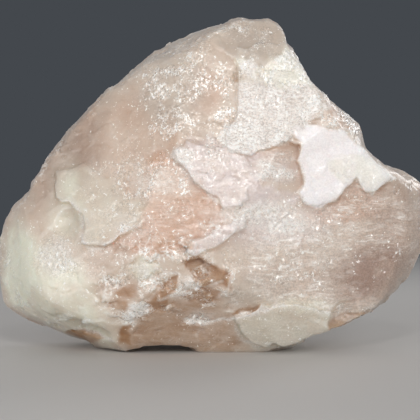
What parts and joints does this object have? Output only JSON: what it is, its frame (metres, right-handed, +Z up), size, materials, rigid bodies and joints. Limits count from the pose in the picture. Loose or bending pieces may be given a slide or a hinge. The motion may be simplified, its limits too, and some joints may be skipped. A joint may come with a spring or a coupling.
{
  "type": "rough morganite crystal",
  "caption": "Rough, rounded-triangular chunk of milky peach-pink beryl, with stepped breaks, shell-shaped scars and frosted flakes, standing on a flat break.",
  "frame": {"origin": "bottom centre of the bounding box, in the plane the stone rests on", "axes": "+Z up; +X along the stone's width, to the right as its broad front is seen; the broad front looks along -Y"},
  "size_m": [0.05, 0.0246, 0.038],
  "materials": {
    "morganite": "milky, slightly see-through, glassy on the smooth breaks and frosted white on the granular ones"
  },
  "bodies": {
    "root": {"morganite_crystal": "morganite"}
  },
  "joints": []
}
